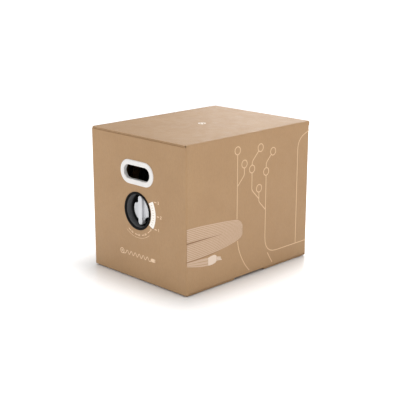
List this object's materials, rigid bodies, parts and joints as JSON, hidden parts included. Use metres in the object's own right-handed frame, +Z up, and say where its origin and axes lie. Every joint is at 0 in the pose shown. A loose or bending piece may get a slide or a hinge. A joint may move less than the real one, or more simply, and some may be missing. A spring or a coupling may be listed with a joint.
{
  "type": "cable spool box",
  "caption": "Carton with a hinged lid holding a reel of data cable on a fixed axle, with an oval outlet and a dial that sets the drag on the reel.",
  "frame": {"origin": "centre of the carton's footprint, on the surface it stands on", "axes": "+X to the right of someone facing the dial, towards the lid's crease; +Y from the dial to the rear hand hole; +Z up"},
  "size_m": [0.32, 0.4184, 0.34],
  "materials": {
    "kraft_outside": "matte",
    "kraft_inside": "matte",
    "white_plastic": "gloss",
    "natural_plastic": "satin",
    "black_gloss_plastic": "gloss",
    "black_matte_plastic": "matte",
    "knob_plastic": "satin",
    "steel": "satin",
    "bar_paint": "satin",
    "felt": "matte",
    "plywood": "matte",
    "paper_tube": "matte",
    "cable_jacket": "satin",
    "tape": "satin",
    "print_white": "matte",
    "print_cream": "matte"
  },
  "bodies": {
    "carton": {"front_panel": "kraft_outside", "back_panel": "kraft_outside", "left_panel": "kraft_outside", "right_panel": "kraft_outside", "glue_tab": "kraft_inside", "bottom_flap_front": "kraft_outside", "bottom_flap_back": "kraft_outside", "bottom_flap_left": "kraft_inside", "bottom_flap_right": "kraft_inside", "support_insert_left": "kraft_inside", "support_insert_right": "kraft_inside", "axle_socket_left": "black_matte_plastic", "axle_socket_right": "black_matte_plastic", "axle": "steel", "outlet_bezel": "white_plastic", "outlet_retainer": "natural_plastic", "handle_bezel": "white_plastic", "handle_retainer": "natural_plastic", "dial_housing": "black_gloss_plastic", "housing_ring_nut": "black_matte_plastic", "brake_guide": "black_matte_plastic", "guide_screws": "steel"},
    "lid": {"lid_panel": "kraft_outside"},
    "tuck": {"tuck_flap": "kraft_outside"},
    "dust_front": {"dust_flap_front": "kraft_inside"},
    "dust_back": {"dust_flap_back": "kraft_inside"},
    "reel": {"reel_flange_left": "plywood", "reel_flange_right": "plywood", "core_tube": "paper_tube", "hub_bush_left": "natural_plastic", "hub_bush_right": "natural_plastic", "tie_rods": "steel", "tie_nuts": "steel", "cable_pack": "cable_jacket", "end_tape": "tape"},
    "dial": {"dial_knob": "knob_plastic", "dial_spindle": "steel", "spindle_clip": "steel"},
    "brake": {"brake_plunger": "black_matte_plastic", "drag_spring": "steel", "brake_bar": "bar_paint", "bar_screws": "steel", "brake_pad_left": "felt", "brake_pad_right": "felt"}
  },
  "joints": [
    {"name": "lid_hinge", "type": "hinge", "parent": "carton", "child": "lid", "pos_m": [0.1603, 0, 0.338], "axis": [0, 1, 0], "range_deg": [0, 200]},
    {"name": "tuck_fold", "type": "hinge", "parent": "lid", "child": "tuck", "pos_m": [-0.1556, 0, 0.3359], "axis": [0, 1, 0], "range_deg": [0, 42]},
    {"name": "dust_fold_front", "type": "hinge", "parent": "carton", "child": "dust_front", "pos_m": [0, -0.2029, 0.3315], "axis": [-1, 0, 0], "range_deg": [0, 70]},
    {"name": "dust_fold_back", "type": "hinge", "parent": "carton", "child": "dust_back", "pos_m": [0, 0.2029, 0.3315], "axis": [1, 0, 0], "range_deg": [0, 70]},
    {"name": "reel_spin", "type": "hinge", "parent": "carton", "child": "reel", "pos_m": [0, 0.038, 0.165], "axis": [1, 0, 0], "continuous": true},
    {"name": "dial_turn", "type": "hinge", "parent": "carton", "child": "dial", "pos_m": [0, -0.2, 0.165], "axis": [0, 1, 0], "range_deg": [-32.5, 32.5]},
    {"name": "brake_slide", "type": "slide", "parent": "carton", "child": "brake", "axis": [0, 1, 0], "range_m": [-0.0017, 0.0017]}
  ],
  "couplings": [
    {"joint": "dial_turn", "follows": "brake_slide", "rad_per_m": 333.6},
    {"joint": "tuck_fold", "follows": "lid_hinge", "ratio": 0.2}
  ]
}
